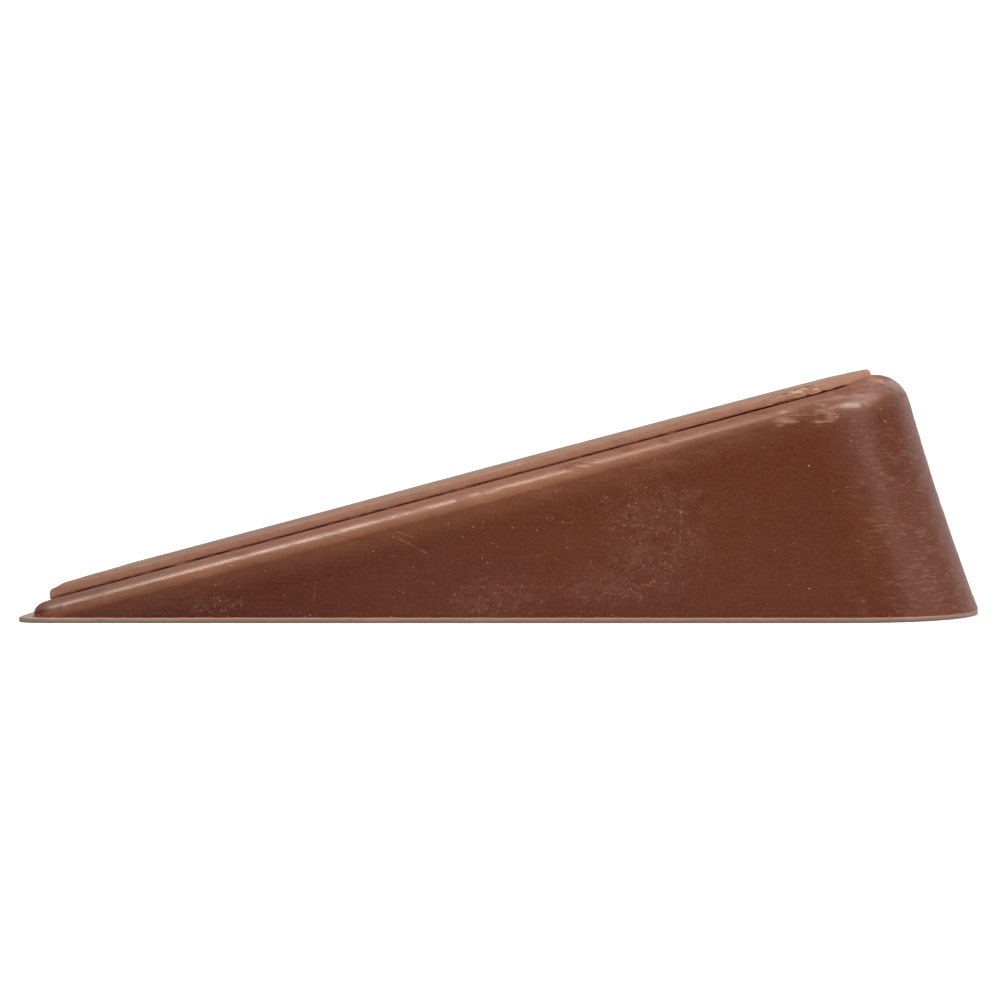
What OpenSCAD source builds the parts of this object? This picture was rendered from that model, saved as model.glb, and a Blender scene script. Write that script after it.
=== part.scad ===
// Rubber door wedge, built as a bonded stack: sole, sole film, cored body, pad film and tread pad.
// Millimetres. The origin is at the centre of the footprint on the floor, +X runs from the thin
// toe to the thick heel, and +Z is up.

/* [Overall] */
// Overall length, from the sole's toe lip to the heel
length = 120.65; // [110:0.05:130]
// Overall width, across the sole
width = 57.15; // [52:0.05:64]
// Overall height, to the tread pad's upper corner
height = 31.45; // [29:0.05:34]
// Angle of the ramp above the floor, in degrees
ramp_angle = 14.95; // [14:0.05:15.5]

/* [Body] */
// Lean of the heel face from the vertical, in degrees
heel_lean = 17.8; // [14:0.1:22]
// Draft of the two long sides from the vertical, in degrees
side_draft = 3; // [1:0.5:5]
// Plan radius of the two heel corners
heel_corner_r = 18.2; // [12:0.1:20]
// Plan radius of the two toe corners
toe_corner_r = 2.8; // [2:0.1:4]
// Radius of the rounded shoulder along the ramp's sides
shoulder_r = 2.4; // [1.5:0.1:3]
// Radius of the rounded shoulder round the heel
heel_edge_r = 2.9; // [2:0.1:3.5]
// Radius of the rounded nose
nose_r = 2; // [1.5:0.1:2.2]
// Rubber left round and above the core pockets
wall = 5; // [4:0.5:6]
// Thickness of the ribs between the core pockets
rib = 3.2; // [2.5:0.1:4]

/* [Sole] */
// Thickness of the sole sheet
sole_t = 0.6; // [0.5:0.05:1]
// How far the sole stands out past the body along its sides and heel
sole_lip = 0.3; // [0.1:0.05:0.5]
// How far the sole stands out past the body's nose
toe_lip = 1.7; // [0.8:0.1:2]

/* [Tread pad] */
// Thickness of the tread pad
pad_t = 1.1; // [0.9:0.05:1.4]
// Width of the tread pad
pad_w = 46.8; // [40:0.1:47]
// Length of the tread pad, along the ramp
pad_l = 108; // [100:0.1:108.2]
// Distance from the pad's heel end back to where the ramp would meet the heel face
pad_setback = 3.5; // [3.2:0.1:5]
// Plan radius of the pad's two heel corners
pad_heel_r = 13.5; // [8:0.5:16]
// Plan radius of the pad's two toe corners
pad_toe_r = 3.5; // [2:0.1:5]
// Length of the lead-in at the pad's toe end
lead_in_l = 3.4; // [2:0.1:5]
// Drop of the lead-in at the pad's toe end
lead_in_h = 0.45; // [0.3:0.05:0.7]

/* [Bond films] */
// Thickness of the film that holds the tread pad
pad_film_t = 0.2; // [0.15:0.05:0.3]
// Thickness of the film that holds the sole
sole_film_t = 0.1; // [0.1:0.05:0.2]
// How far the pad's film stops short of the pad's edge
pad_film_inset = 0.9; // [0.5:0.1:1.5]
// How far the sole's film stops short of the body's edge
sole_film_inset = 0.5; // [0.3:0.1:1]

/* [Grip grooves] */
// Width of a grip groove
groove_w = 1.4; // [0.8:0.1:2]
// Depth of a grip groove
groove_d = 0.3; // [0.2:0.05:0.4]
// Distance from one grip groove to the next
groove_pitch = 6; // [5:0.5:8]

/* [Hidden] */

body_z = sole_t + sole_film_t;         // underside of the body
body_toe_x = -length / 2 + toe_lip;    // the nose, at the underside
body_heel_x = length / 2 - sole_lip;   // the heel face, at the underside
body_half_w = width / 2 - sole_lip;
pad_stack = pad_film_t + pad_t;        // from the ramp up to the pad's face

// The ramp's height over the origin puts the pad's upper corner at the overall height. The pad's
// heel end is pad_setback short of the line where the ramp meets the heel face.
ramp_x0 = body_heel_x + body_z * tan(heel_lean);
ramp_u = 1 / (cos(ramp_angle) + sin(ramp_angle) * tan(heel_lean));
pad_end_u = (ramp_u * (ramp_x0 - tan(heel_lean)
        * (height - pad_stack * cos(ramp_angle))) - pad_setback)
    / (1 - ramp_u * tan(heel_lean) * sin(ramp_angle));
ramp_z0 = height - pad_stack * cos(ramp_angle) - pad_end_u * sin(ramp_angle);

shoulder_run = 10;                     // from the nose to where the shoulder has its full radius
pocket_bays = 5;                       // rows of core pockets, from heel to toe
pocket_pitch = 16.4;
pocket_heel_x = 55.5;                  // heel end of the last row, before the wall trims it
pocket_toe_x = pocket_heel_x - pocket_bays * pocket_pitch + rib;
pad_groove_span = 3 * groove_pitch;    // from the pad's middle to its outermost grooves
pad_groove_end = 11;                   // plain pad left at each end of its grooves
sole_groove_end = 12;                  // plain sole left at its toe and heel
sole_groove_edge = 7;                  // plain sole left along its sides
window_edge = wall - sole_film_inset;  // from the body's edge in to the sole film's windows
through = 1;                           // how far a cutter runs past what it cuts

// Puts its children on the ramp: X runs up the ramp, and Z stands square to it.
module on_ramp() {
    translate([0, 0, ramp_z0]) rotate([0, -ramp_angle, 0]) children();
}

// Plan outline from x0 to x1, with a pair of corners rounded at each end.
module plan_outline(x0, x1, half_w, r_toe, r_heel) {
    translate([x0 + r_toe, -half_w]) square([x1 - r_heel - x0 - r_toe, 2 * half_w]);
    translate([x0, r_toe - half_w]) square([r_toe * 2, 2 * (half_w - r_toe)]);
    translate([x1 - r_heel * 2, r_heel - half_w]) square([r_heel * 2, 2 * (half_w - r_heel)]);
    for (side = [-1, 1]) {
        translate([x0 + r_toe, side * (half_w - r_toe)]) circle(r = r_toe, $fn = 48);
        translate([x1 - r_heel, side * (half_w - r_heel)]) circle(r = r_heel, $fn = 96);
    }
}

// A disc of radius r whose rim is rounded to edge_r, with its upper face at Z = 0.
module rounded_disc(r, edge_r) {
    translate([0, 0, -edge_r]) rotate_extrude($fn = 64) {
        translate([0, -edge_r]) square([r - edge_r, 2 * edge_r]);
        intersection() {
            translate([r - edge_r, 0]) circle(r = edge_r, $fn = 32);
            translate([0, -edge_r]) square([r, 2 * edge_r]);
        }
    }
}

// Where a ball or disc of radius r, centred depth below the ramp, touches a drafted side and the
// heel face from inside. Both are measured in the ramp's own frame.
function side_y(u, depth, r) = body_half_w - r / cos(side_draft)
    - (ramp_z0 + u * sin(ramp_angle) - depth * cos(ramp_angle) - body_z) * tan(side_draft);
function heel_u(depth, r) = ramp_u * (ramp_x0 - r / cos(heel_lean)
    - tan(heel_lean) * (ramp_z0 - depth * cos(ramp_angle)) - depth * sin(ramp_angle));

// The two corners of the rounded nose: upright rings that touch the ramp from below.
module nose_corners() {
    ring_r = toe_corner_r - nose_r;
    ring_x = body_toe_x + toe_corner_r;
    ring_z = ramp_z0 + ring_x * tan(ramp_angle) - (ring_r * sin(ramp_angle) + nose_r)
        / cos(ramp_angle);
    for (side = [-1, 1])
        translate([ring_x, side * (body_half_w - toe_corner_r), ring_z + nose_r])
            rounded_disc(toe_corner_r, nose_r);
}

// The wedge's outer form, drawn in from its faces by inset. It runs on a little way below the
// underside. The form with no inset is the body, and the core pockets are cut from the form inset
// by the wall.
module wedge_form(inset = 0) {
    corner_r = heel_corner_r - inset;
    corner_u = heel_u(heel_edge_r, heel_corner_r);
    corner_y = side_y(corner_u, heel_edge_r, heel_corner_r);
    ball_u = body_toe_x + shoulder_run + inset;
    ball_y = side_y(ball_u, shoulder_r, shoulder_r + inset);
    hull() {
        translate([0, 0, body_z - through]) linear_extrude(through)
            plan_outline(body_toe_x + inset, body_heel_x - inset, body_half_w - inset,
                toe_corner_r, corner_r);
        for (side = [-1, 1]) {
            on_ramp() translate([corner_u, side * corner_y, -inset])
                rounded_disc(corner_r, heel_edge_r);
            on_ramp() translate([ball_u, side * ball_y, -inset - shoulder_r])
                sphere(r = shoulder_r, $fn = 48);
        }
        if (inset == 0) nose_corners();
    }
}

// Plan of the core pockets: rows of two, split by a centre rib and grown by margin. The outermost
// edges stand past the body, so that whatever the plan is used with trims them.
module pocket_grid(margin = 0) {
    lane_w = body_half_w;
    for (i = [0 : pocket_bays - 1], side = [-1, 1])
        translate([pocket_toe_x + i * pocket_pitch - margin,
            side * (lane_w / 2 + rib / 2 - margin / 2) - lane_w / 2 - margin / 2])
            square([pocket_pitch - rib + 2 * margin, lane_w + margin]);
}

// A row of shallow grooves sunk groove_d into Z = 0 from below. The row is spread along X from
// x0 to x1, and each groove runs along Y, half_l either side of the middle.
module grip_grooves(x0, x1, half_l) {
    count = floor((x1 - x0) / groove_pitch) + 1;
    start = (x0 + x1 - (count - 1) * groove_pitch) / 2;
    for (i = [0 : count - 1])
        translate([start + i * groove_pitch - groove_w / 2, -half_l, -through])
            cube([groove_w, 2 * half_l, through + groove_d]);
}

// Moulded rubber wedge, cored out from below so that its walls are about the same thickness.
module wedge_body() {
    color("#6d3a2b") difference() {
        intersection() {
            wedge_form();
            translate([-length, -width, body_z]) cube([2 * length, 2 * width, height]);
        }
        intersection() {
            wedge_form(wall);
            translate([0, 0, body_z - through / 2]) linear_extrude(height) pocket_grid();
        }
    }
}

// Side view of the pad, with a rounded lead-in at the toe end.
module pad_profile() {
    arc_r = (lead_in_l * lead_in_l + lead_in_h * lead_in_h) / (2 * lead_in_h);
    arc_end = asin(lead_in_l / arc_r);
    steps = 8;
    polygon(concat(
        [[pad_end_u, 0], [pad_end_u, pad_t]],
        [for (i = [0 : steps]) let (a = arc_end * i / steps)
            [pad_end_u - pad_l + lead_in_l - arc_r * sin(a), pad_t - arc_r * (1 - cos(a))]],
        [[pad_end_u - pad_l, 0]]));
}

// Grooved pad that the door rides up on.
module tread_pad() {
    color("#a0735f") on_ramp() translate([0, 0, pad_film_t]) difference() {
        intersection() {
            linear_extrude(pad_t) plan_outline(pad_end_u - pad_l, pad_end_u, pad_w / 2,
                pad_toe_r, pad_heel_r);
            translate([0, pad_w, 0]) rotate([90, 0, 0]) linear_extrude(2 * pad_w) pad_profile();
        }
        translate([pad_end_u - pad_l / 2, 0, pad_t]) mirror([0, 0, 1]) rotate([0, 0, 90])
            grip_grooves(-pad_groove_span, pad_groove_span, pad_l / 2 - pad_groove_end);
    }
}

// Adhesive film between the ramp and the pad, set back so that a thin slit shows round the pad.
module pad_bond_film() {
    color("#3a2119") on_ramp() linear_extrude(pad_film_t)
        plan_outline(pad_end_u - pad_l + pad_film_inset, pad_end_u - pad_film_inset,
            pad_w / 2 - pad_film_inset, pad_toe_r - pad_film_inset, pad_heel_r - pad_film_inset);
}

// Thin non-slip sheet that closes the core pockets and grips the floor.
module sole_sheet() {
    color("#8d6350") difference() {
        linear_extrude(sole_t)
            plan_outline(-length / 2, length / 2, width / 2, toe_corner_r + sole_lip,
                heel_corner_r + sole_lip);
        grip_grooves(sole_groove_end - length / 2, length / 2 - sole_groove_end,
            width / 2 - sole_groove_edge);
    }
}

// Adhesive film between the sole and the body's rim and ribs, with windows at the core pockets.
module sole_bond_film() {
    color("#3a2119") translate([0, 0, sole_t]) difference() {
        linear_extrude(sole_film_t)
            plan_outline(body_toe_x + sole_film_inset, body_heel_x - sole_film_inset,
                body_half_w - sole_film_inset, toe_corner_r, heel_corner_r - sole_film_inset);
        translate([0, 0, -through]) linear_extrude(sole_film_t + 2 * through) intersection() {
            pocket_grid(sole_film_inset);
            plan_outline(body_toe_x + window_edge, body_heel_x - window_edge,
                body_half_w - window_edge, toe_corner_r, heel_corner_r - window_edge);
        }
    }
}

wedge_body();
tread_pad();
pad_bond_film();
sole_sheet();
sole_bond_film();
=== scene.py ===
"""Brown rubber door wedge: a moulded body, a bonded tread pad and a thin sole, on a pale floor.

Everything is in metres, in the frame of the CAD model. +X runs from the thin toe to the thick
heel, and +Z is up from the floor. The places come from the CAD nodes' boxes.
"""
import math

import bmesh
import bpy
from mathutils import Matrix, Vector, noise


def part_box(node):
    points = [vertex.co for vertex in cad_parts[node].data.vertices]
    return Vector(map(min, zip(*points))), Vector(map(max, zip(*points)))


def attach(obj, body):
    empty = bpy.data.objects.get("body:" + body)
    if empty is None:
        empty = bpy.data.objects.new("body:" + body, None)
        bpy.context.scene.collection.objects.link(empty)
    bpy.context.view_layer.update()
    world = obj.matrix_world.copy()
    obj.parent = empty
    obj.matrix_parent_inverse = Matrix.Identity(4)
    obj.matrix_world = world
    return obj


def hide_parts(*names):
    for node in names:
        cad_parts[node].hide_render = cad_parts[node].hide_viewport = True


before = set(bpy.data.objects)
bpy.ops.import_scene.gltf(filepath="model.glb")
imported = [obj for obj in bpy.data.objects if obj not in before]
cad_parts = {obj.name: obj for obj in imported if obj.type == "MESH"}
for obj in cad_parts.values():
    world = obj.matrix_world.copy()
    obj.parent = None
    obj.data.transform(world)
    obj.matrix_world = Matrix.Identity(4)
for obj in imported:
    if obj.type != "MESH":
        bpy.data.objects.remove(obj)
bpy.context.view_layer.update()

MM = 0.001

# --- dimensions that the boxes don't give -------------------------------------------------------
RAMP = math.radians(14.95)
SIDE_DRAFT = math.radians(3)
HEEL_CORNER_R = 18.2 * MM
TOE_CORNER_R = 2.8 * MM
NOSE_R = 2.0 * MM
SHOULDER_R = 2.4 * MM
HEEL_EDGE_R = 4.45 * MM
LAND_RISE = 0.55 * MM
HEEL_FOOT = 0.24 * MM
HEEL_LEAN = 0.374
HEEL_CURVE = 1.8
PAD_FILM_T = 0.2 * MM
PAD_T = 1.2 * MM
PAD_HEEL_R = 13.5 * MM
PAD_TOE_R = 2.2 * MM
PAD_EDGE_R = 0.55 * MM
LEAD_IN_L = 2.2 * MM
LEAD_IN_H = 0.12 * MM
WALL = 5 * MM
RIB = 3.2 * MM
POCKET_CORNER_R = 1.2 * MM
LAST_POCKET_X = 55.5 * MM
BAY_PITCH = 16.4 * MM
BAYS = 5

# Grip grooves: half their width at the bottom and at the brow, how many lie on each side of the
# middle one, and how far their ends stop short.
GROOVE_D = 0.3 * MM
GROOVE_PITCH = 6 * MM
GROOVE_FLAT, GROOVE_BROW = 0.52 * MM, 0.84 * MM
PAD_GROOVES_A_SIDE = 3
PAD_GROOVE_GAP = 11 * MM
SOLE_GROOVES_A_SIDE = 8
SOLE_GROOVE_GAP = 7 * MM

SHARP_EDGE = math.radians(40)

BODY_LO, BODY_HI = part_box("wedge_body")
_, PAD_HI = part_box("tread_pad")
FILM_LO, FILM_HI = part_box("pad_bond_film")
SOLE_LO, SOLE_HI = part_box("sole_sheet")
SOLE_FILM_LO, SOLE_FILM_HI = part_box("sole_bond_film")

BASE_Z = BODY_LO.z
RAMP_NORMAL = Vector((-math.sin(RAMP), 0, math.cos(RAMP)))
RAMP_Z0 = FILM_HI.z - PAD_FILM_T * math.cos(RAMP) - FILM_HI.x * math.tan(RAMP)

# The pad's ends up the ramp, and half its width.
PAD_HEEL_U = (PAD_HI.x + PAD_FILM_T * math.sin(RAMP)) / math.cos(RAMP) - 0.25 * MM
PAD_TOE_U = (FILM_LO.x / math.cos(RAMP)) - 0.9 * MM
PAD_HALF_W = PAD_HI.y
PAD_GROOVE_START_U = PAD_TOE_U + PAD_GROOVE_GAP
PAD_GROOVE_STOP_U = PAD_HEEL_U - PAD_GROOVE_GAP


# --- small maths --------------------------------------------------------------------------------
def lerp(a, b, t):
    """The value that is the share t of the way from a to b."""
    return a + (b - a) * t


def smooth(lo, hi, value):
    """0 below lo, 1 above hi, and a smooth turn between."""
    t = min(max((value - lo) / (hi - lo), 0), 1)
    return t * t * (3 - 2 * t)


def on_ramp(u, v, h):
    """The point u up the ramp, v across it and h above it."""
    return Vector((u * math.cos(RAMP), v, RAMP_Z0 + u * math.sin(RAMP))) + RAMP_NORMAL * h


def ramp_z(x):
    """The ramp's height above the floor."""
    return RAMP_Z0 + x * math.tan(RAMP)


def groove_at(across, past):
    """Depth of a grip groove, this far across from its middle line and past its end."""
    return GROOVE_D * (1 - smooth(GROOVE_FLAT, GROOVE_BROW, math.hypot(across, past)))


def waver(point, size, seed=0.0):
    """Gentle unevenness, within -1 and 1, with lumps of about that size."""
    return noise.noise(point / size + Vector((seed, seed * 1.7, -seed)))


# --- plates and shells --------------------------------------------------------------------------
class Steps:
    """How finely a rounded plan is walked: its toe corners, sides, heel corners and ends."""

    def __init__(self, toe, side, heel, columns):
        self.toe, self.side, self.heel = toe, side, heel
        self.columns = columns
        self.rows = toe + side + heel

    def loop(self):
        """(row, column) of each station round the outline, anticlockwise from the toe's -Y end."""
        last, across = self.rows, len(self.columns) - 1
        near = [(j, 0) for j in range(last + 1)]
        heel = [(last, i) for i in range(1, across)]
        far = [(j, across) for j in range(last, -1, -1)]
        toe = [(0, i) for i in range(across - 1, 0, -1)]
        return near + heel + far + toe


def plan_point(steps, row, column, toe_x, heel_x, half_w, toe_r, heel_r):
    """A station of the outline in plan, and the outward direction there."""
    side = steps.columns[column]
    if row < steps.toe:
        a = math.pi / 2 * row / steps.toe
        x, y = toe_x + toe_r * (1 - math.cos(a)), half_w - toe_r * (1 - math.sin(a))
        nx, ny = -math.cos(a), math.sin(a)
    elif row <= steps.toe + steps.side:
        t = (row - steps.toe) / steps.side
        x, y = lerp(toe_x + toe_r, heel_x - heel_r, t), half_w
        nx, ny = 0.0, 1.0
    else:
        a = math.pi / 2 * (row - steps.toe - steps.side) / steps.heel
        x, y = heel_x - heel_r * (1 - math.sin(a)), half_w - heel_r * (1 - math.cos(a))
        nx, ny = math.sin(a), math.cos(a)
    if row in (0, steps.rows):
        ny = 0.0
        nx = -1.0 if row == 0 else 1.0
    return Vector((x, y * side, 0)), Vector((nx, ny * (1 if side > 0 else -1), 0))


def even_columns(count):
    """Lines across a plan, from -1 at its near side to 1 at its far side."""
    return [2 * i / count - 1 for i in range(count + 1)]


def strip(bm, lower, upper):
    """Faces between two closed loops of the same length, facing out."""
    count = len(lower)
    for k in range(count):
        n = (k + 1) % count
        bm.faces.new((lower[k], lower[n], upper[n], upper[k]))


def cap(bm, loop, steps, facing_up, shape=None):
    """Closes a loop with a grid, row by row. shape moves each inner point."""
    at = dict(zip(steps.loop(), loop))
    across = len(steps.columns) - 1
    for j in range(1, steps.rows):
        a, b = at[j, 0].co, at[j, across].co
        for i in range(1, across):
            p = a.lerp(b, (steps.columns[i] + 1) / 2)
            at[j, i] = bm.verts.new(shape(p) if shape else p)
    for j in range(steps.rows):
        for i in range(across):
            quad = (at[j, i], at[j + 1, i], at[j + 1, i + 1], at[j, i + 1])
            bm.faces.new(quad if facing_up else quad[::-1])
    return at


def finished(bm, name, material, node):
    """Makes the mesh an object that stands for a CAD node."""
    bm.normal_update()
    mesh = bpy.data.meshes.new(name)
    bm.to_mesh(mesh)
    bm.free()
    mesh.shade_smooth()
    mesh.set_sharp_from_angle(angle=SHARP_EDGE)
    obj = bpy.data.objects.new(name, mesh)
    bpy.context.scene.collection.objects.link(obj)
    mesh.materials.append(material)
    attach(obj, "root")
    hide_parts(node)
    return obj


# --- the body -----------------------------------------------------------------------------------
BODY_STEPS = Steps(10, 190, 44, even_columns(60))
WALL_LEVELS = 44
ARC_LEVELS = 16


def body_half_w(z):
    """The sides lean in as they rise."""
    return BODY_HI.y - (z - BASE_Z) * math.tan(SIDE_DRAFT)


def heel_face_x(z):
    """The heel face leans in as it rises, less and less, so its foot flares a little."""
    rise = z - BASE_Z
    return BODY_HI.x + HEEL_FOOT - HEEL_LEAN * rise + HEEL_CURVE * rise * rise


def wall_point(row, column, z):
    """A station of the wall at one height, and the outward direction there."""
    return plan_point(
        BODY_STEPS, row, column, BODY_LO.x, heel_face_x(z), body_half_w(z), TOE_CORNER_R, HEEL_CORNER_R
    )


def rim_point(row, column):
    """Where a wall would meet the ramp if the shoulder weren't rounded."""
    z = BASE_Z
    for _ in range(12):
        p, outward = wall_point(row, column, z)
        z = ramp_z(p.x) + land_crown(p.x)
    return Vector((p.x, p.y, z)), outward


def land_crown(x):
    """The ramp stands a little proud behind the pad."""
    return LAND_RISE * smooth(42 * MM, 48 * MM, x)


def shoulder_radius(x):
    """The shoulder's round: tight at the nose and wide at the heel."""
    along = smooth(BODY_LO.x, BODY_LO.x + 8 * MM, x)
    back = smooth(34 * MM, 50 * MM, x)
    return lerp(lerp(NOSE_R, SHOULDER_R, along), HEEL_EDGE_R, back)


def shoulder_arc(rim, before, after, row, column, outward):
    """The shoulder's round from the wall, over the rim, to the ramp: its ends and its weight."""
    probe_z = rim.z - 0.5 * MM
    below, _ = wall_point(row, column, probe_z)
    below.z = probe_z
    down = (below - rim).normalized()
    inward = RAMP_NORMAL.cross(after - before).normalized()
    if inward.dot(outward) > 0:
        inward.negate()
    half = down.angle(inward) / 2
    reach = shoulder_radius(rim.x) / math.tan(half)
    return rim + down * reach, rim + inward * reach, math.sin(half)


def arc_at(start, rim, end, weight, t):
    """A point on the circular arc from start to end, whose tangents meet at rim."""
    a, b, c = (1 - t) ** 2, 2 * t * (1 - t) * weight, t * t
    return (start * a + rim * b + end * c) / (a + b + c)


def body_profile(row, column, rim, before, after, outward):
    """Points from the underside up the wall and over the shoulder, at one station."""
    start, end, weight = shoulder_arc(rim, before, after, row, column, outward)
    points = []
    if start.z > BASE_Z + 0.3 * MM:
        for i in range(WALL_LEVELS):
            z = lerp(BASE_Z, start.z, i / WALL_LEVELS)
            p, _ = wall_point(row, column, z)
            points.append(Vector((p.x, p.y, z)))
        first = 0.0
    else:
        # At the nose the round reaches below the body, so the wall is the part of it above.
        low, high = 0.0, 1.0
        for _ in range(24):
            mid = (low + high) / 2
            if arc_at(start, rim, end, weight, mid).z < BASE_Z:
                low = mid
            else:
                high = mid
        first = lerp(high, 1, 0.15)
        for i in range(WALL_LEVELS):
            points.append(arc_at(start, rim, end, weight, lerp(high, first, i / WALL_LEVELS)))
        points[0].z = BASE_Z
    for i in range(ARC_LEVELS + 1):
        points.append(arc_at(start, rim, end, weight, lerp(first, 1, i / ARC_LEVELS)))
    return points


def body_unevenness(p):
    """Moulded rubber is never quite flat, and the heel is scuffed."""
    gentle = 0.05 * waver(p, 14 * MM) + 0.02 * waver(p, 4 * MM, 3.1)
    scuffed = 0.06 * waver(p, 1.5 * MM, 6.0) + 0.04 * waver(p, 0.7 * MM, 8.0)
    return (gentle + scuffed * smooth(46 * MM, 56 * MM, p.x)) * MM


def pocket_outline(x0, x1, y0, y1, side, heel_r):
    """A pocket in plan, anticlockwise, with its outer heel corner rounded to heel_r."""
    small = POCKET_CORNER_R
    corners = [(x1, y1, heel_r, 0), (x0, y1, small, 90), (x0, y0, small, 180), (x1, y0, small, 270)]
    points = []
    for x, y, r, start in corners:
        cx = x - r if x == x1 else x + r
        cy = y - r if y == y1 else y + r
        for i in range(9):
            a = math.radians(start + 90 * i / 8)
            points.append(Vector((cx + r * math.cos(a), (cy + r * math.sin(a)) * side, 0)))
    return points if side > 0 else points[::-1]


def pocket_loop(bay, side, z_of):
    """One pocket's outline at the height that z_of gives for each point."""
    last_x = LAST_POCKET_X - (BAYS - bay - 1) * BAY_PITCH
    x0 = last_x - BAY_PITCH + RIB
    z = z_of(x0)
    x1 = min(last_x, heel_face_x(z_of(last_x)) - WALL)
    y1 = body_half_w(z) - WALL
    heel_r = HEEL_CORNER_R - WALL if bay == BAYS - 1 else POCKET_CORNER_R
    heel_r = min(heel_r, x1 - x0 - 1.3 * MM)
    plan = pocket_outline(x0, x1, RIB / 2, y1, side, heel_r)
    return [Vector((p.x, p.y, z_of(p.x))) for p in plan]


def core_pockets(bm, rim):
    """The underside, with its pockets. Their roofs follow the ramp."""
    edges = [bm.edges.get((rim[k], rim[(k + 1) % len(rim)])) for k in range(len(rim))]
    roof_drop = WALL / math.cos(RAMP)
    for bay in range(BAYS):
        for side in (-1, 1):
            mouth = [bm.verts.new(p) for p in pocket_loop(bay, side, lambda x: BASE_Z)]
            roof = [bm.verts.new(p) for p in pocket_loop(bay, side, lambda x: ramp_z(x) - roof_drop)]
            strip(bm, mouth[::-1], roof[::-1])
            bm.faces.new(roof[::-1])
            edges += [bm.edges.get((mouth[k], mouth[k - 1])) for k in range(len(mouth))]
    bmesh.ops.triangle_fill(bm, use_beauty=True, use_dissolve=False, edges=edges, normal=(0, 0, -1))


def wedge_body(material):
    """The moulded body: its walls, shoulder, ramp and cored underside."""
    stations = BODY_STEPS.loop()
    rims = [rim_point(j, i) for j, i in stations]
    count = len(stations)
    profiles = []
    for k, (row, column) in enumerate(stations):
        before, after = rims[k - 1][0], rims[(k + 1) % count][0]
        profiles.append(body_profile(row, column, rims[k][0], before, after, rims[k][1]))
    bm = bmesh.new()
    loops = []
    for level in range(WALL_LEVELS + ARC_LEVELS + 1):
        loop = []
        for profile, (_, outward) in zip(profiles, rims):
            p = profile[level]
            fade = smooth(0, 2 * MM, p.z - BASE_Z)
            loop.append(bm.verts.new(p + outward * body_unevenness(p) * fade))
        loops.append(loop)
    for lower, upper in zip(loops, loops[1:]):
        strip(bm, lower, upper)
    cap(bm, loops[-1], BODY_STEPS, True)
    core_pockets(bm, loops[0])
    return finished(bm, "body_shell", material, "wedge_body")


# --- the pad ------------------------------------------------------------------------------------
def pad_columns():
    """Lines across the pad, close together at the edges of each groove."""
    lines = {-1.0, 1.0}
    centres = [GROOVE_PITCH * i for i in range(-PAD_GROOVES_A_SIDE, PAD_GROOVES_A_SIDE + 1)]
    for c in centres:
        for offset in (0.84, 0.76, 0.68, 0.60, 0.52, 0.25):
            lines |= {(c - offset * MM) / PAD_HALF_W, (c + offset * MM) / PAD_HALF_W}
    for c in centres[:-1]:
        lines |= {(c + GROOVE_PITCH * t) / PAD_HALF_W for t in (0.3, 0.42, 0.5, 0.58, 0.7)}
    for v in (20.0, 21.2, 22.2, 22.8):
        lines |= {v * MM / PAD_HALF_W, -v * MM / PAD_HALF_W}
    return sorted(lines)


PAD_STEPS = Steps(8, 230, 40, pad_columns())

# How much each level of the pad's edge shows the cut rubber: all of it up to the rounded brow.
CUT_EDGE = [1.0] * 5 + [0.74, 0.54, 0.38, 0.25, 0.15, 0.08, 0.03, 0.0]


def lead_in_drop(u):
    """How far the pad's face has dropped towards its toe end."""
    t = max(0.0, 1 - (u - PAD_TOE_U) / LEAD_IN_L)
    return LEAD_IN_H * t ** 1.35


def pad_bow(u, v):
    """The pad is a touch thicker above its middle, and its near toe corner has lifted a little."""
    t = (u - PAD_TOE_U) / (PAD_HEEL_U - PAD_TOE_U)
    lifted = smooth(0.005, 0.03, t) * (1 - smooth(0.03, 0.12, t)) * smooth(-6 * MM, 18 * MM, -v)
    return 0.08 * MM * (math.sin(math.pi * t) ** 2) * smooth(0.2, 0.6, t) + 0.25 * MM * lifted


def groove_depth(u, v):
    """Depth of the grip grooves, which run up the ramp and stop short of both ends."""
    lane = round(v / GROOVE_PITCH)
    if abs(lane) > PAD_GROOVES_A_SIDE:
        return 0.0
    past = max(PAD_GROOVE_START_U - u, u - PAD_GROOVE_STOP_U, 0.0)
    return groove_at(v - lane * GROOVE_PITCH, past)


def torn_away(p, inset):
    """Depth of the nibbled stretch of the pad's near side, towards the heel."""
    stretch = smooth(33 * MM, 35 * MM, p.x) * (1 - smooth(38 * MM, 40 * MM, p.x))
    nibble = max(0.0, 0.2 + waver(p + Vector((0, 0, inset * 9)), 0.9 * MM, 21.0))
    return 0.3 * MM * stretch * nibble if p.y < 0 else 0.0


def pad_outline():
    """Each station of the pad's outline, up the ramp and across it, and its outward direction."""
    return [
        plan_point(PAD_STEPS, row, column, PAD_TOE_U, PAD_HEEL_U, PAD_HALF_W, PAD_TOE_R, PAD_HEEL_R)
        for row, column in PAD_STEPS.loop()
    ]


def pad_loop(bm, h_of, inset, rough=0.0):
    """One level of the pad's edge, drawn in by inset, at the height that h_of gives."""
    verts = []
    for p, outward in pad_outline():
        chipped = 1 + 1.4 * smooth(24 * MM, 40 * MM, p.x)
        worn = 0.05 * MM * chipped * waver(p + Vector((0, 0, inset * 3)), 1.6 * MM, 12.0)
        worn += torn_away(p, inset)
        q = p - outward * (inset + worn)
        ragged = chipped * rough * (waver(p, 1.1 * MM, 5.0) + 0.6 * waver(p, 0.45 * MM, 9.0))
        h = h_of(p.x, p.y) + ragged
        upright = h * math.tan(RAMP) * (1 - smooth(PAD_TOE_U, PAD_TOE_U + 4 * MM, p.x))
        verts.append(bm.verts.new(on_ramp(q.x + upright, q.y, h)))
    return verts


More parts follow.
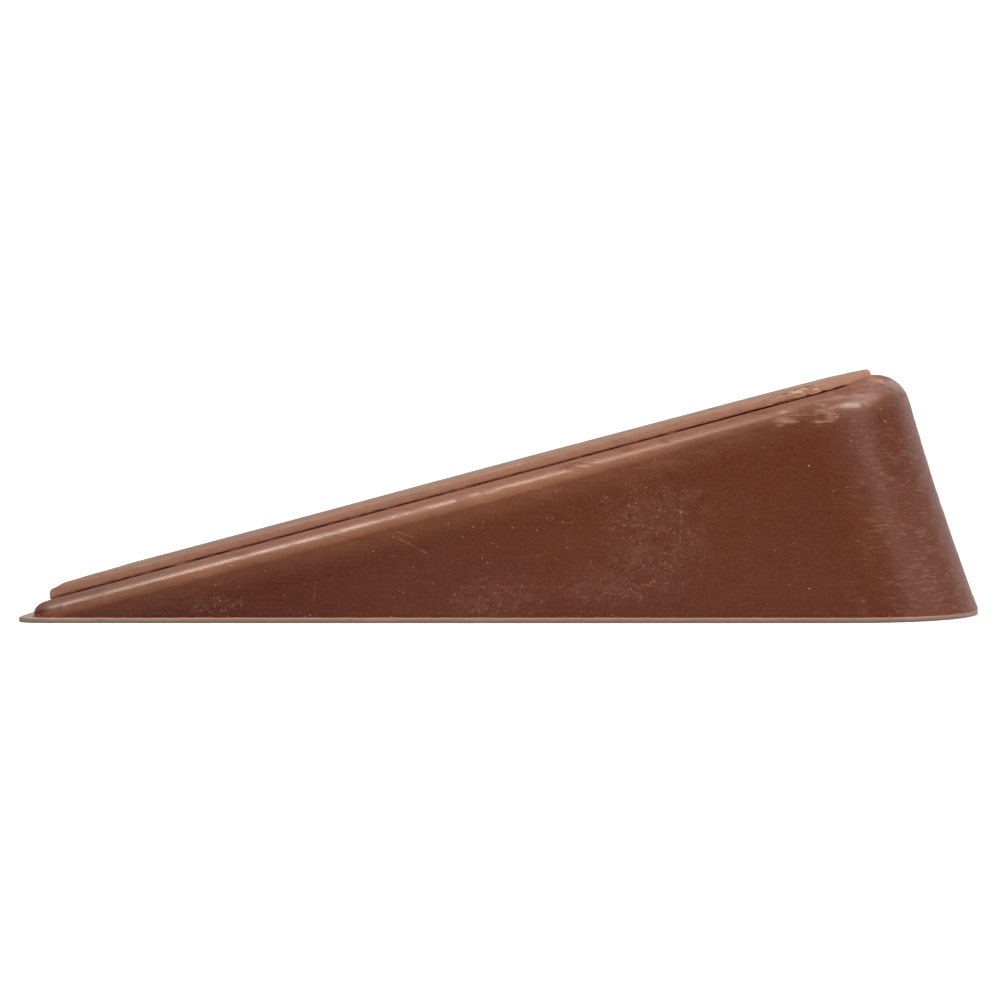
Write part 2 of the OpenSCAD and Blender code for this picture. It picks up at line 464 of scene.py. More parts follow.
def tread_pad(material):
    """The raised pad, with a worn edge, a rounded brow and a grooved face."""
    bm = bmesh.new()
    cut = bm.verts.layers.float.new("cut_edge")

    def top(u, v):
        return PAD_FILM_T + PAD_T - lead_in_drop(u) + pad_bow(u, v) - 0.02 * MM

    def level(depth):
        return lambda u, v: max(top(u, v) - depth, PAD_FILM_T + 0.27 * MM)

    loops = [
        pad_loop(bm, lambda u, v: PAD_FILM_T, 0.08 * MM, 0.05 * MM),
        pad_loop(bm, lambda u, v: PAD_FILM_T + 0.03 * MM, 0.02 * MM, 0.05 * MM),
        pad_loop(bm, lambda u, v: PAD_FILM_T + 0.12 * MM, 0, 0.04 * MM),
        pad_loop(bm, lambda u, v: PAD_FILM_T + 0.25 * MM, 0),
    ]
    for i in range(9):
        a = math.pi / 2 * i / 8
        loops.append(
            pad_loop(bm, level(PAD_EDGE_R * (1 - math.sin(a))), PAD_EDGE_R * (1 - math.cos(a)))
        )
    for loop, amount in zip(loops, CUT_EDGE):
        for vert in loop:
            vert[cut] = amount
    for lower, upper in zip(loops, loops[1:]):
        strip(bm, lower, upper)

    def face(p):
        u = (p.x + (PAD_FILM_T + PAD_T) * math.sin(RAMP)) / math.cos(RAMP)
        lift = 0.03 * MM * waver(p, 9 * MM, 2.0)
        return p + RAMP_NORMAL * (lift - groove_depth(u, p.y))

    cap(bm, loops[-1], PAD_STEPS, True, face)
    cap(bm, loops[0], PAD_STEPS, False)
    return finished(bm, "pad_shell", material, "tread_pad")


def pad_bond_film(material):
    """The layer under the pad. It stops short of the edge, unevenly, which leaves a dark slit."""
    bm = bmesh.new()
    loops = []
    for h in (0.0, PAD_FILM_T / 2, PAD_FILM_T):
        bulge = 0.1 * MM if 0 < h < PAD_FILM_T else 0.0
        loop = []
        for p, outward in pad_outline():
            inset = lerp(0.18 * MM, 0.36 * MM, smooth(20 * MM, 32 * MM, p.x))
            edge = inset + 0.12 * MM * waver(p, 2.4 * MM, 7.0) + 0.08 * MM * waver(p, 0.8 * MM, 3.0)
            q = p - outward * (edge - bulge)
            loop.append(bm.verts.new(on_ramp(q.x, q.y, h)))
        loops.append(loop)
    for lower, upper in zip(loops, loops[1:]):
        strip(bm, lower, upper)
    cap(bm, loops[-1], PAD_STEPS, True)
    cap(bm, loops[0], PAD_STEPS, False)
    return finished(bm, "pad_glue_line", material, "pad_bond_film")


# --- the sole -----------------------------------------------------------------------------------
SOLE_STEPS = Steps(10, 260, 44, even_columns(80))
SOLE_ROUGH = 0.1 * MM


def sole_loop(bm, z, inset):
    """One level of the sole's ragged edge, drawn in by inset."""
    verts = []
    for row, column in SOLE_STEPS.loop():
        p, outward = plan_point(
            SOLE_STEPS, row, column, SOLE_LO.x, SOLE_HI.x, SOLE_HI.y,
            TOE_CORNER_R + 0.3 * MM, HEEL_CORNER_R + 0.3 * MM,
        )
        ragged = SOLE_ROUGH * (0.5 * waver(p, 6 * MM, 1.0) + 0.5 * waver(p, 1.3 * MM, 4.0) - 0.6)
        q = p + outward * (ragged - inset)
        verts.append(bm.verts.new(Vector((q.x, q.y, z))))
    return verts


def sole_groove(p):
    """Depth of the shallow grip grooves across the underside."""
    lane = round(p.x / GROOVE_PITCH)
    if abs(lane) > SOLE_GROOVES_A_SIDE:
        return 0.0
    past = max(abs(p.y) - (SOLE_HI.y - SOLE_GROOVE_GAP), 0.0)
    return groove_at(p.x - lane * GROOVE_PITCH, past)


def sole_sheet(material):
    """The thin sheet on the floor, with softened edges and grooves below."""
    bm = bmesh.new()
    top = SOLE_HI.z
    loops = [
        sole_loop(bm, 0.0, 0.1 * MM),
        sole_loop(bm, 0.04 * MM, 0.03 * MM),
        sole_loop(bm, 0.12 * MM, 0),
        sole_loop(bm, top - 0.16 * MM, 0),
        sole_loop(bm, top - 0.06 * MM, 0.04 * MM),
        sole_loop(bm, top, 0.14 * MM),
    ]
    for lower, upper in zip(loops, loops[1:]):
        strip(bm, lower, upper)
    cap(bm, loops[-1], SOLE_STEPS, True)
    cap(bm, loops[0], SOLE_STEPS, False, lambda p: p + Vector((0, 0, sole_groove(p))))
    return finished(bm, "sole_shell", material, "sole_sheet")


def sole_bond_film(material):
    """The layer between body and sole, squeezed out to the body's edge."""
    bm = bmesh.new()
    loops = []
    for z, inset in ((SOLE_FILM_LO.z, 0.0), (SOLE_FILM_HI.z, 0.06 * MM)):
        loop = []
        for row, column in BODY_STEPS.loop():
            p, outward = wall_point(row, column, BASE_Z)
            q = p - outward * inset
            loop.append(bm.verts.new(Vector((q.x, q.y, z))))
        loops.append(loop)
    strip(bm, loops[0], loops[1])
    cap(bm, loops[1], BODY_STEPS, True)
    cap(bm, loops[0], BODY_STEPS, False)
    return finished(bm, "sole_glue_line", material, "sole_bond_film")


# --- materials ----------------------------------------------------------------------------------
class Shader:
    """A short way to write a material's node tree."""

    def __init__(self, name):
        self.material = bpy.data.materials.new(name)
        self.material.use_nodes = True
        self.tree = self.material.node_tree
        self.skin = self.tree.nodes["Principled BSDF"]
        self.place = self.add("ShaderNodeTexCoord").outputs["Object"]

    def add(self, kind, inputs=None, **settings):
        node = self.tree.nodes.new(kind)
        for key, value in settings.items():
            setattr(node, key, value)
        for key, value in (inputs or {}).items():
            self.feed(node.inputs[key], value)
        return node

    def feed(self, socket, value):
        if isinstance(value, bpy.types.NodeSocket):
            self.tree.links.new(value, socket)
        else:
            socket.default_value = value

    def clouds(self, size, detail=4.0, rough=0.55, along=(1, 1, 1), seed=0.0):
        """Noise from 0 to 1 with lumps of about that size, drawn out along the axes."""
        scale = [1 / (size * a) for a in along]
        place = self.add("ShaderNodeMapping", {"Vector": self.place, "Scale": scale,
                                               "Location": (seed, seed * 2, seed * 3)})
        inputs = {"Vector": place.outputs[0], "Scale": 1.0, "Detail": detail, "Roughness": rough}
        return self.add("ShaderNodeTexNoise", inputs).outputs[0]

    def between(self, value, lo, hi, to_lo=0.0, to_hi=1.0):
        """Turns smoothly from to_lo to to_hi as the value goes from lo to hi."""
        inputs = {"Value": value, 1: lo, 2: hi, 3: to_lo, 4: to_hi}
        node = self.add("ShaderNodeMapRange", inputs, interpolation_type="SMOOTHSTEP")
        return node.outputs[0]

    def maths(self, operation, a, b=0.0):
        return self.add("ShaderNodeMath", {0: a, 1: b}, operation=operation).outputs[0]

    def strongest(self, values):
        """The largest of several values at each point."""
        most = values[0]
        for value in values[1:]:
            most = self.maths("MAXIMUM", most, value)
        return most

    def mix(self, share, a, b):
        """The colour that is the given share of the way from a to b."""
        node = self.add("ShaderNodeMix", {0: share, 6: a, 7: b}, data_type="RGBA")
        return node.outputs[2]

    def bump(self, height, strength, distance, under=None):
        inputs = {"Height": height, "Strength": strength, "Distance": distance}
        if under is not None:
            inputs["Normal"] = under
        return self.add("ShaderNodeBump", inputs).outputs[0]

    def patch(self, centre, reach):
        """1 in the middle of a patch of the surface, and 0 past its reach, with a torn edge."""
        torn = self.between(self.clouds(1.5 * MM, 3.0, 0.6), 0.2, 0.8, -0.35, 0.35)
        offset = self.add("ShaderNodeVectorMath", {0: self.place, 1: centre}, operation="SUBTRACT")
        scaled = self.add("ShaderNodeVectorMath", {0: offset.outputs[0], 1: reach}, operation="DIVIDE")
        away = self.add("ShaderNodeVectorMath", {0: scaled.outputs[0]}, operation="LENGTH")
        return self.between(self.maths("ADD", away.outputs["Value"], torn), 0.35, 1.0, 1.0, 0.0)

    def hairline(self, start, end, width):
        """1 along the straight line between two points, and 0 past its width."""
        along = end - start
        offset = self.add("ShaderNodeVectorMath", {0: self.place, 1: start}, operation="SUBTRACT")
        inputs = {0: offset.outputs[0], 1: along / along.length_squared}
        part = self.add("ShaderNodeVectorMath", inputs, operation="DOT_PRODUCT").outputs["Value"]
        part = self.add("ShaderNodeClamp", {"Value": part}).outputs[0]
        nearest = self.add("ShaderNodeVectorMath", {0: along, "Scale": part}, operation="SCALE")
        inputs = {0: offset.outputs[0], 1: nearest.outputs[0]}
        away = self.add("ShaderNodeVectorMath", inputs, operation="DISTANCE").outputs["Value"]
        return self.between(away, width * 0.5, width, 1.0, 0.0)

    def specks(self, spacing, size, share, seed=0.0):
        """Scattered dust: a small dot in a share of the cells of that spacing."""
        place = self.add("ShaderNodeMapping", {"Vector": self.place, "Location": (seed, seed, seed)})
        inputs = {"Vector": place.outputs[0], "Scale": 1 / spacing, "Randomness": 1.0}
        cells = self.add("ShaderNodeTexVoronoi", inputs)
        near = self.between(cells.outputs["Distance"], size / spacing * 0.7, size / spacing, 1.0, 0.0)
        red = self.add("ShaderNodeSeparateColor", {0: cells.outputs["Color"]}).outputs[0]
        return self.maths("MULTIPLY", near, self.maths("LESS_THAN", red, share))


def rgb(r, g, b):
    """An opaque colour, in linear light."""
    return (r, g, b, 1.0)


def above_floor(s):
    """How far a point is above the floor."""
    return s.add("ShaderNodeSeparateXYZ", {0: s.place}).outputs[2]


def along_wedge(s, lo, hi, at_toe=0.0, at_heel=1.0):
    """A value that turns from at_toe to at_heel between two places along the wedge."""
    x = s.add("ShaderNodeSeparateXYZ", {0: s.place}).outputs[0]
    return s.between(x, lo, hi, at_toe, at_heel)


def over_ramp(s):
    """How far a point stands above the plane of the ramp."""
    node = s.add("ShaderNodeVectorMath", {0: s.place, 1: RAMP_NORMAL}, operation="DOT_PRODUCT")
    return s.maths("SUBTRACT", node.outputs["Value"], RAMP_Z0 * math.cos(RAMP))


def on_side(part_along, part_up, side=-1):
    """A place on a side face: its share of the way to the heel, and up to the ramp."""
    x = lerp(BODY_LO.x, BODY_HI.x, part_along)
    z = lerp(BASE_Z, ramp_z(x), part_up)
    return Vector((x, side * body_half_w(z), z))


def body_tone(s):
    """Red-brown rubber with a fine grain, and faint lines left by handling along the wedge."""
    drift = s.between(s.clouds(22 * MM), 0.35, 0.65)
    tone = s.mix(drift, rgb(0.049, 0.0050, 0.0002), rgb(0.056, 0.0066, 0.0005))
    grain = s.clouds(0.24 * MM, 2.0, 0.7, along=(1.3, 1.3, 1), seed=11.0)
    grain = s.between(grain, 0.40, 0.68, 0.0, 0.16)
    tone = s.mix(grain, tone, rgb(0.20, 0.060, 0.030))
    lines = s.clouds(0.3 * MM, 3.0, 0.65, along=(9, 9, 1), seed=2.0)
    tone = s.mix(s.between(lines, 0.50, 0.74, 0.0, 0.07), tone, rgb(0.22, 0.075, 0.040))
    return s.mix(along_wedge(s, -55 * MM, 10 * MM, 0.5, 0.0), tone, rgb(0.030, 0.003, 0.0002))


def scuffs(s):
    """Pale flecks and a thin haze in a few scuffed patches: near side, far side and heel."""
    area = s.strongest([
        s.patch(on_side(0.475, 0.13), Vector((7, 30, 4)) * MM),
        s.patch(on_side(0.64, 0.45), Vector((8, 30, 10)) * MM),
        s.patch(on_side(0.60, 0.18), Vector((9, 30, 3)) * MM),
        s.patch(on_side(0.19, 0.20), Vector((5, 30, 1.6)) * MM),
        s.patch(on_side(0.36, 0.55, 1), Vector((9, 25, 4)) * MM),
        s.patch(on_side(0.71, 0.30, 1), Vector((11, 25, 7)) * MM),
        s.patch(Vector((BODY_HI.x, 7 * MM, 12 * MM)), Vector((12, 14, 8)) * MM),
    ])
    flecks = s.between(s.clouds(0.26 * MM, 2.0, 0.6, along=(1.6, 1.6, 1), seed=5.0), 0.56, 0.70)
    veil = s.between(s.clouds(1.2 * MM, 5.0, 0.75, along=(1.3, 1.3, 1), seed=8.0), 0.40, 0.75, 0.0, 0.36)
    return s.maths("MULTIPLY", area, s.maths("MAXIMUM", flecks, veil))


def dust(s, scuffed):
    """Pale specks, densest in the scuffs and at the foot of the sides."""
    share = s.between(s.clouds(9 * MM, 3.0, 0.6, seed=14.0), 0.42, 0.68, 0.03, 0.40)
    share = s.maths("MULTIPLY", share, along_wedge(s, 10 * MM, 40 * MM, 1.0, 0.35))
    share = s.maths("ADD", share, s.between(above_floor(s), BASE_Z, BASE_Z + 1.2 * MM, 0.45, 0.0))
    share = s.maths("ADD", share, s.maths("MULTIPLY", scuffed, 0.5))
    fine = s.specks(0.6 * MM, 0.075 * MM, share)
    big = s.specks(2.0 * MM, 0.10 * MM, 0.07, seed=3.0)
    return s.maths("MAXIMUM", s.maths("MULTIPLY", fine, 0.42), s.maths("MULTIPLY", big, 0.6))


def rub_marks(s):
    """Bare, paler places along the shoulder near the heel."""
    area = s.strongest([
        s.patch(on_side(0.775, 0.93), Vector((1.8, 30, 1.2)) * MM),
        s.patch(on_side(0.815, 0.90), Vector((2.6, 30, 1.6)) * MM),
        s.patch(on_side(0.880, 0.99), Vector((1.4, 30, 0.5)) * MM),
    ])
    brushed = s.between(s.clouds(0.3 * MM, 3.0, 0.6, along=(8, 8, 1), seed=19.0), 0.38, 0.62)
    return s.maths("MULTIPLY", area, brushed)


def painted_sheen_band(s):
    """Painted sheen: a pale band along the lower half of the shoulder's round, where it turns up to the
    light, fading out near the heel.
    """
    over = over_ramp(s)
    band = s.maths("MULTIPLY", s.between(over, -2.4 * MM, -2.05 * MM, 0.0, 0.13),
                   s.between(over, -1.6 * MM, -1.0 * MM, 1.0, 0.0))
    return s.maths("MULTIPLY", band, along_wedge(s, 8 * MM, 24 * MM, 1.0, 0.0))


def scratches(s):
    """A few hairline scratches on the near side face."""
    drawn = s.strongest([
        s.hairline(on_side(0.365, 0.80), on_side(0.408, 0.54), 0.09 * MM),
        s.hairline(on_side(0.376, 0.78), on_side(0.398, 0.68), 0.08 * MM),
        s.hairline(on_side(0.2935, 0.40), on_side(0.292, 0.18), 0.09 * MM),
        s.hairline(on_side(0.668, 0.60), on_side(0.666, 0.40), 0.08 * MM),
    ])
    broken = s.between(s.clouds(0.8 * MM, 3.0, 0.6, seed=23.0), 0.35, 0.65, 0.04, 0.22)
    return s.maths("MULTIPLY", drawn, broken)


def heel_strokes_and_glints(s):
    """Pale strokes round the heel corner, where the wedge is kicked and dragged; they also stand in for
    the streaks in the heel's highlight, so partly painted highlight.
    """
    strokes = s.between(s.clouds(0.22 * MM, 3.0, 0.7, along=(9, 9, 1), seed=27.0), 0.48, 0.68)
    bunched = s.between(s.clouds(3 * MM, 3.0, 0.6, seed=31.0), 0.35, 0.6)
    strokes = s.maths("MULTIPLY", strokes, bunched)
    return s.maths("MULTIPLY", strokes, along_wedge(s, 38 * MM, 47 * MM))


def painted_sheen_and_paling(s):
    """Painted sheen along the shoulder: the side paler just under its round, as light falls there, in
    blotches; and a trace paler towards the heel.
    """
    heelward = along_wedge(s, -42 * MM, 2 * MM)
    blotch = s.between(s.clouds(3.5 * MM, 5.0, 0.65, along=(2, 2, 1), seed=9.0), 0.35, 0.75, 0.8, 1.25)
    # Painted sheen: the side grows paler towards its top, up to the shoulder.
    top_lit_sheen = s.between(over_ramp(s), -5.4 * MM, -2.0 * MM, 0.0, 0.105)
    top_lit_sheen = s.maths("MULTIPLY", top_lit_sheen, along_wedge(s, 10 * MM, 40 * MM, 1.0, 0.4))
    top_lit_sheen = s.maths("MULTIPLY", top_lit_sheen, along_wedge(s, -54 * MM, -34 * MM, 0.35, 1.0))
    top_lit_sheen = s.maths("ADD", top_lit_sheen, painted_sheen_band(s))
    trace = s.between(heelward, 0.0, 1.0, 0.0, 0.022)
    return s.maths("ADD", trace, s.maths("MULTIPLY", top_lit_sheen, blotch))


def body_roughness(s, scuffed):
    """Satin rubber, duller where it is worn, at the ramp and at the heel."""
    rough = s.between(s.clouds(0.9 * MM, 4.0, 0.65, along=(2, 2, 1), seed=1.0), 0.30, 0.70, 0.29, 0.34)
    worn = s.clouds(1.3 * MM, 4.0, 0.65, along=(4, 4, 1), seed=16.0)
    worn = s.between(worn, 0.53, 0.62, 0.0, 0.28)
    worn = s.maths("MULTIPLY", worn, s.between(over_ramp(s), -4.6 * MM, -2.4 * MM))
    worn = s.maths("MULTIPLY", worn, along_wedge(s, -20 * MM, 10 * MM, 0.3, 1.0))
    rough = s.maths("ADD", rough, s.maths("ADD", worn, s.maths("MULTIPLY", scuffed, 0.2)))
    rough = s.maths("ADD", rough, s.between(over_ramp(s), -1.0 * MM, -0.4 * MM, 0.0, 0.35))
    rough = s.maths("ADD", rough, along_wedge(s, 46 * MM, 52 * MM, 0.0, 0.15))
    return s.maths("SUBTRACT", rough, along_wedge(s, -50 * MM, 0, 0.05, 0.0))


def body_rubber():
    """The body's red-brown rubber, with its wear."""
    s = Shader("body_rubber")
    # Painted sheen under the shoulder, and a touch paler towards the heel.
    tone = s.mix(painted_sheen_and_paling(s), body_tone(s), rgb(0.40, 0.18, 0.09))
    scuffed = scuffs(s)
    tone = s.mix(s.maths("MULTIPLY", scuffed, 0.16), tone, rgb(0.44, 0.32, 0.23))
    tone = s.mix(s.maths("MULTIPLY", rub_marks(s), 0.26), tone, rgb(0.55, 0.34, 0.24))
    # Pale strokes at the heel: partly wear, partly painted highlight streaks.
    tone = s.mix(s.maths("MULTIPLY", heel_strokes_and_glints(s), 0.15), tone, rgb(0.46, 0.27, 0.19))
    tone = s.mix(scratches(s), tone, rgb(0.40, 0.24, 0.16))
    tone = s.mix(dust(s, scuffed), tone, rgb(0.60, 0.50, 0.40))
    s.feed(s.skin.inputs["Base Color"], tone)
    s.feed(s.skin.inputs["Roughness"], body_roughness(s, scuffed))
    fine = s.bump(s.clouds(0.35 * MM, 3.0, 0.6, seed=4.0), 0.2, 0.06 * MM)
    lines = s.clouds(0.28 * MM, 3.0, 0.65, along=(24, 24, 1), seed=2.0)
    s.feed(s.skin.inputs["Normal"], s.bump(lines, 0.25, 0.05 * MM, fine))
    s.skin.inputs["IOR"].default_value = 1.46
    s.skin.inputs["Specular Tint"].default_value = rgb(1.0, 0.80, 0.66)
    return s.material


def in_grooves(s):
    """1 in the pad's grip grooves, and 0 between and beyond them."""
    place = s.add("ShaderNodeSeparateXYZ", {0: s.place})
    away = s.maths("PINGPONG", place.outputs[1], GROOVE_PITCH / 2)
    lane = s.between(away, 0.45 * MM, 0.85 * MM, 1.0, 0.0)
    outermost = (PAD_GROOVES_A_SIDE + 0.5) * GROOVE_PITCH
    inside = s.maths("LESS_THAN", s.maths("ABSOLUTE", place.outputs[1]), outermost)
    lane = s.maths("MULTIPLY", lane, inside)
    start = PAD_GROOVE_START_U * math.cos(RAMP)
    stop = PAD_GROOVE_STOP_U * math.cos(RAMP)
    begun = along_wedge(s, start - 1 * MM, start)
    not_over = along_wedge(s, stop, stop + 1 * MM, 1.0, 0.0)
    return s.maths("MULTIPLY", lane, s.maths("MULTIPLY", begun, not_over))


def worn_tread(s, tone):
    """The pad's face: a fine stipple, pale rubs where doors slide, and darker in its grooves."""
    stipple = s.between(s.clouds(0.3 * MM, 3.0, 0.7, seed=33.0), 0.38, 0.66, 0.0, 0.35)
    tone = s.mix(stipple, tone, rgb(0.13, 0.058, 0.032))
    rubs = s.between(s.clouds(0.5 * MM, 4.0, 0.7, along=(22, 1, 22), seed=35.0), 0.50, 0.68)
    bunched = s.between(s.clouds(10 * MM, 3.0, 0.6, seed=37.0), 0.42, 0.62, 0.05, 0.40)
    rubs = s.maths("MULTIPLY", rubs, bunched)
    tone = s.mix(rubs, tone, rgb(0.24, 0.135, 0.085))
    return s.mix(s.maths("MULTIPLY", in_grooves(s), 0.6), tone, rgb(0.030, 0.014, 0.008))


def cut_edge_tone(s, heelward, pits):
    """The pad's sides: paler cut rubber with pits and flecks, and one torn place."""
    edge = s.mix(heelward, rgb(0.245, 0.109, 0.068), rgb(0.268, 0.120, 0.074))
    edge = s.mix(pits, edge, rgb(0.18, 0.075, 0.045))
    flecks = s.between(s.clouds(0.22 * MM, 2.0, 0.6, along=(1.5, 1.5, 1), seed=13.0), 0.60, 0.74)
    flecks = s.maths("MULTIPLY", flecks, s.between(heelward, 0.2, 0.9, 0.12, 0.45))
    edge = s.mix(flecks, edge, rgb(0.52, 0.33, 0.24))
    torn = s.patch(Vector((36 * MM, -PAD_HALF_W, ramp_z(36 * MM))), Vector((5, 3, 3)) * MM)
    ragged = s.between(s.clouds(0.6 * MM, 4.0, 0.7, along=(2, 2, 1), seed=17.0), 0.46, 0.58)
    return s.mix(s.maths("MULTIPLY", torn, ragged), edge, rgb(0.60, 0.38, 0.26))


def pad_rubber():
    """The pad's duller rubber. The mesh says where its cut edge shows."""
    s = Shader("pad_rubber")
    heelward = along_wedge(s, -42 * MM, 0)
    drift = s.between(s.clouds(8 * MM), 0.35, 0.65)
    at_toe = s.mix(drift, rgb(0.060, 0.021, 0.010), rgb(0.074, 0.027, 0.013))
    drift = s.between(s.clouds(6 * MM, seed=6.0), 0.35, 0.65)
    at_heel = s.mix(drift, rgb(0.085, 0.038, 0.019), rgb(0.108, 0.048, 0.025))
    face = worn_tread(s, s.mix(heelward, at_toe, at_heel))
    pits = s.clouds(0.7 * MM, 5.0, 0.75, along=(1.8, 1.8, 1), seed=3.0)
    pits = s.between(pits, 0.45, 0.75, 0.0, 0.55)
    edge = cut_edge_tone(s, heelward, pits)
    cut = s.add("ShaderNodeAttribute", attribute_name="cut_edge").outputs["Fac"]
    s.feed(s.skin.inputs["Base Color"], s.mix(cut, face, edge))
    s.feed(s.skin.inputs["Roughness"], s.between(pits, 0.0, 0.5, 0.65, 0.80))
    rough = s.bump(s.clouds(0.4 * MM, 4.0, 0.65), 0.35, 0.08 * MM)
    s.feed(s.skin.inputs["Normal"], s.bump(pits, 0.4, -0.08 * MM, rough))
    s.skin.inputs["Specular Tint"].default_value = rgb(1.0, 0.85, 0.72)
    return s.material


def underside_tone(s):
    """The sole's tread: brown, with grime in wide stains and pale scrapes across it."""
    grime = s.between(s.clouds(7 * MM, 4.0, 0.6, seed=43.0), 0.40, 0.62, 0.0, 0.7)
    scraped = s.between(s.clouds(0.35 * MM, 4.0, 0.7, along=(1, 6, 1), seed=41.0), 0.47, 0.68, 0.0, 0.5)
    tone = s.mix(grime, rgb(0.120, 0.073, 0.050), rgb(0.062, 0.037, 0.026))
    return s.mix(scraped, tone, rgb(0.22, 0.145, 0.105))


def sole_rubber():
    """A thin sheet, with a painted highlight along its upper edge and painted shade at the floor."""
    s = Shader("sole_rubber")
    up = above_floor(s)
    drift = s.between(s.clouds(5 * MM), 0.35, 0.65)
    tone = s.mix(drift, rgb(0.155, 0.085, 0.056), rgb(0.190, 0.106, 0.072))
    # Painted highlight: paler along the sheet's upper edge.
    tone = s.mix(s.between(up, 0.42 * MM, 0.54 * MM), tone, rgb(0.205, 0.100, 0.063))
    # Painted shade: darker at the foot of the edge, at the floor.
    tone = s.mix(s.between(up, 0.12 * MM, 0.30 * MM, 1.0, 0.0), tone, rgb(0.110, 0.073, 0.054))
    tone = s.mix(along_wedge(s, -58.5 * MM, -55 * MM, 0.75, 0.0), tone, rgb(0.115, 0.082, 0.055))
    spots = s.between(s.clouds(0.6 * MM, 4.0, 0.7, along=(2, 2, 1), seed=3.0), 0.55, 0.75, 0.0, 0.6)
    tone = s.mix(spots, tone, rgb(0.09, 0.045, 0.028))
    tone = s.mix(s.between(up, 0.02 * MM, 0.05 * MM, 1.0, 0.0), tone, underside_tone(s))
    s.feed(s.skin.inputs["Base Color"], tone)
    s.skin.inputs["Roughness"].default_value = 0.65
    s.feed(s.skin.inputs["Normal"], s.bump(s.clouds(0.4 * MM, 4.0, 0.65), 0.3, 0.08 * MM))
    return s.material


def bond_film():
    """The layers between the pieces: red-brown where they show."""
    s = Shader("bond_film")
    tone = s.mix(s.between(s.clouds(1.5 * MM), 0.4, 0.7), rgb(0.20, 0.050, 0.022), rgb(0.42, 0.130, 0.070))
    s.feed(s.skin.inputs["Base Color"], tone)
    s.skin.inputs["Roughness"].default_value = 0.7
    s.feed(s.skin.inputs["Normal"], s.bump(s.clouds(0.3 * MM, 3.0, 0.6), 0.3, 0.05 * MM))
    return s.material


# --- stage, light and camera --------------------------------------------------------------------
def floor():
    """A pale floor that sweeps up into a backdrop. Its front glows, so no view sees a dark end."""
    bm = bmesh.new()
    half, front, back, bend, top, steps = 2.5, -2.5, 1.2, 0.5, 2.2, 16
    path = [(front, 0.0), (back - bend, 0.0)]
    for i in range(1, steps + 1):
        a = math.pi / 2 * i / steps
        path.append((back - bend + bend * math.sin(a), bend * (1 - math.cos(a))))
    path.append((back, top))
    rows = [[bm.verts.new((x, y, z)) for x in (-half, half)] for y, z in path]
    for a, b in zip(rows, rows[1:]):
        bm.faces.new((a[0], a[1], b[1], b[0]))
    mesh = bpy.data.meshes.new("floor")
    bm.to_mesh(mesh)
    bm.free()
    mesh.shade_smooth()
    s = Shader("floor")
    s.feed(s.skin.inputs["Base Color"], rgb(0.60, 0.60, 0.60))
    s.skin.inputs["Roughness"].default_value = 0.9
    s.skin.inputs["Specular IOR Level"].default_value = 0.1
    away = s.add("ShaderNodeVectorMath", {0: s.place}, operation="LENGTH").outputs["Value"]
    y = s.add("ShaderNodeSeparateXYZ", {0: s.place}).outputs[1]
    in_front = s.between(y, 0.0, 0.25, 1.0, 0.0)
    glow = s.maths("MULTIPLY", s.between(away, 0.3, 0.8, 0.0, 0.9), in_front)
    s.feed(s.skin.inputs["Emission Strength"], glow)
    mesh.materials.append(s.material)
    obj = bpy.data.objects.new("floor", mesh)
    bpy.context.scene.collection.objects.link(obj)


def softbox(name, place, aim, width, height, watts, colour=(1, 1, 1)):
    """A rectangular light that faces its aim."""
    lamp = bpy.data.lights.new(name, "AREA")
    lamp.shape = "RECTANGLE"
    lamp.size, lamp.size_y, lamp.energy = width, height, watts
    lamp.color = colour
    obj = bpy.data.objects.new(name, lamp)
    obj.location = place
    obj.rotation_euler = (Vector(aim) - Vector(place)).to_track_quat("-Z", "Y").to_euler()
    bpy.context.scene.collection.objects.link(obj)


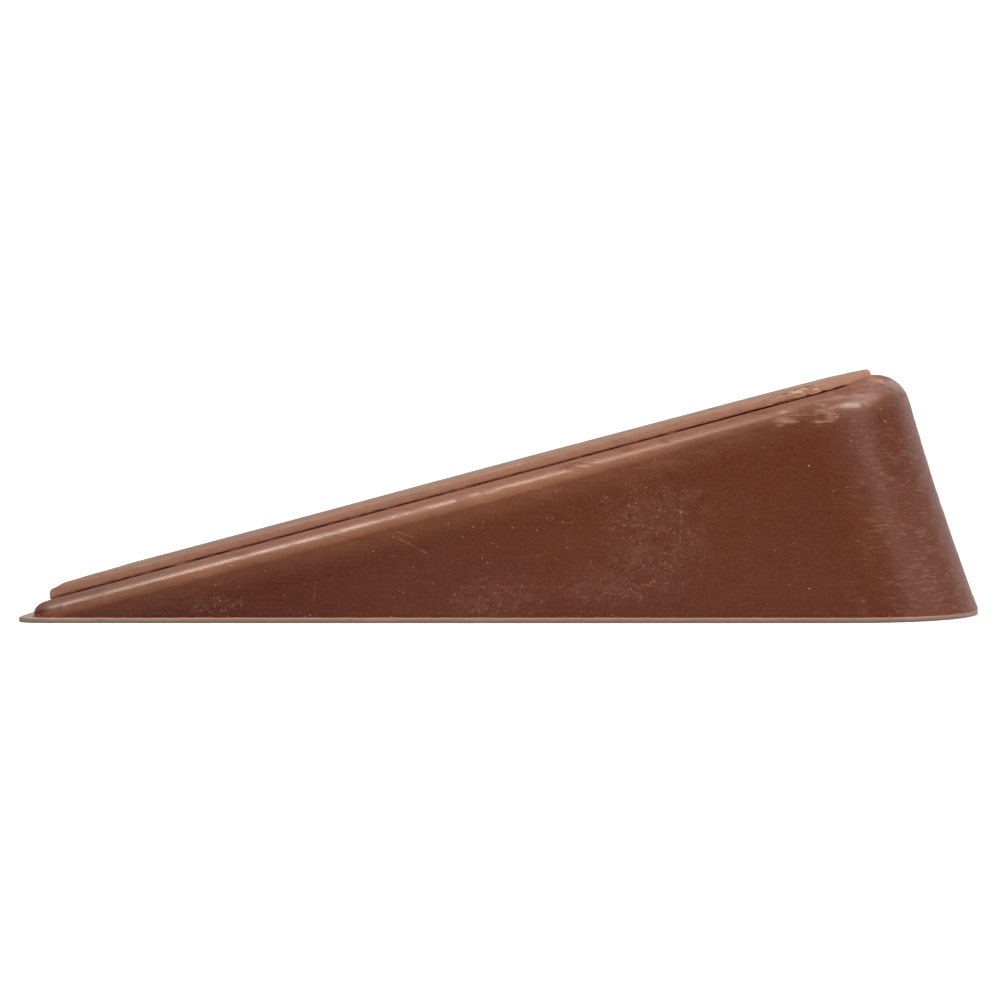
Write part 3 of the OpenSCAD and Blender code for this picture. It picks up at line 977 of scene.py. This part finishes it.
def pale_world():
    """A world that looks white to the camera, but lights the wedge only faintly."""
    world = bpy.data.worlds.new("studio")
    world.use_nodes = True
    nodes, links = world.node_tree.nodes, world.node_tree.links
    faint = nodes["Background"]
    faint.inputs["Color"].default_value = rgb(1, 1, 1)
    faint.inputs["Strength"].default_value = 0.012
    white = nodes.new("ShaderNodeBackground")
    white.inputs["Color"].default_value = rgb(1, 1, 1)
    ray = nodes.new("ShaderNodeLightPath")
    choice = nodes.new("ShaderNodeMixShader")
    links.new(ray.outputs["Is Camera Ray"], choice.inputs[0])
    links.new(faint.outputs[0], choice.inputs[1])
    links.new(white.outputs[0], choice.inputs[2])
    links.new(choice.outputs[0], nodes["World Output"].inputs["Surface"])
    bpy.context.scene.world = world


def studio():
    """The light: soft boxes whose reflections make the shoulder's highlight and the heel's."""
    pale_world()
    bpy.context.scene.view_settings.view_transform = "Standard"
    softbox("key", (-0.205, -0.205, 0.52), (-0.04, 0, 0.01), 0.25, 0.15, 2.5, (1, 0.97, 0.93))
    softbox("key_tail", (-0.075, -0.195, 0.52), (0, 0, 0.02), 0.20, 0.15, 0.42, (1, 0.97, 0.93))
    softbox("ceiling", (0, -0.675, 0.71), (0, -0.465, 0.01), 2.4, 1.63, 16.4)
    softbox("right_panel", (0.77, -0.2, 0.32), (0.04, 0, 0.015), 0.9, 0.7, 0.70, (1, 0.88, 0.74))
    softbox("corner_light", (0.412, -0.160, 0.335), (0.042, -0.025, 0.027), 0.10, 0.14, 1.4)
    softbox("column_light", (0.484, -0.221, 0.152), (0.045, -0.025, 0.018), 0.12, 0.16, 0.10)
    softbox("backdrop_wash", (0, 0.3, 1.1), (0, 1.2, 0.3), 3.2, 0.5, 39)


def camera():
    """Close to the floor, side on, as in the photo."""
    lens = bpy.data.cameras.new("camera")
    lens.sensor_width = 36
    lens.lens = 72.18
    lens.clip_start, lens.clip_end = 0.01, 10
    obj = bpy.data.objects.new("camera", lens)
    obj.location = (-1.437 * MM, -270.6 * MM, 21.544 * MM)
    obj.rotation_euler = (math.radians(90 - 1.572), 0, 0)
    bpy.context.scene.collection.objects.link(obj)
    bpy.context.scene.camera = obj


def main():
    camera()
    studio()
    floor()
    film = bond_film()
    wedge_body(body_rubber())
    tread_pad(pad_rubber())
    pad_bond_film(film)
    sole_sheet(sole_rubber())
    sole_bond_film(film)


main()
